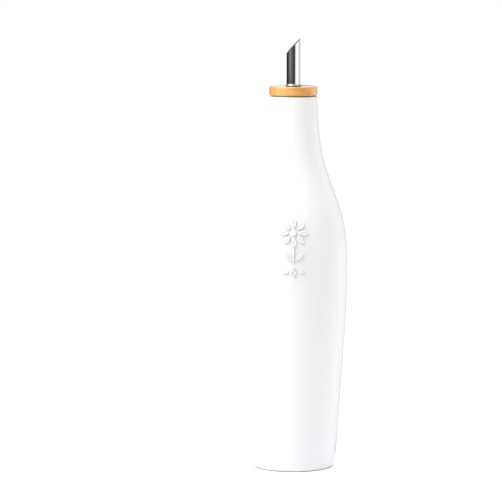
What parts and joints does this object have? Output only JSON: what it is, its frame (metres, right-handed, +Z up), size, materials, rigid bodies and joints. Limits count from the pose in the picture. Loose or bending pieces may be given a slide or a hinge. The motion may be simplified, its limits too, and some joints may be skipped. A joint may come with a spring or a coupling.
{
  "type": "oil dispenser bottle",
  "caption": "Tall round white glazed ceramic oil bottle with a small raised blossom on its front, a bamboo collar over the mouth and a slanted steel pouring tube.",
  "frame": {"origin": "centre of the base, on the table", "axes": "+Z up along the bottle's axis, -Y towards the raised blossom on the front, -X the way the tube pours"},
  "size_m": [0.0796, 0.0806, 0.315],
  "materials": {
    "glazed_white": "satin white glaze over stoneware, bare fired clay under the foot",
    "bamboo": "clear lacquered bamboo, grain across the disc",
    "polished_steel": "mirror polished stainless steel tube"
  },
  "bodies": {
    "root": {"bottle_body": "glazed_white", "stopper_collar": "bamboo", "pour_tube": "polished_steel"}
  },
  "joints": []
}
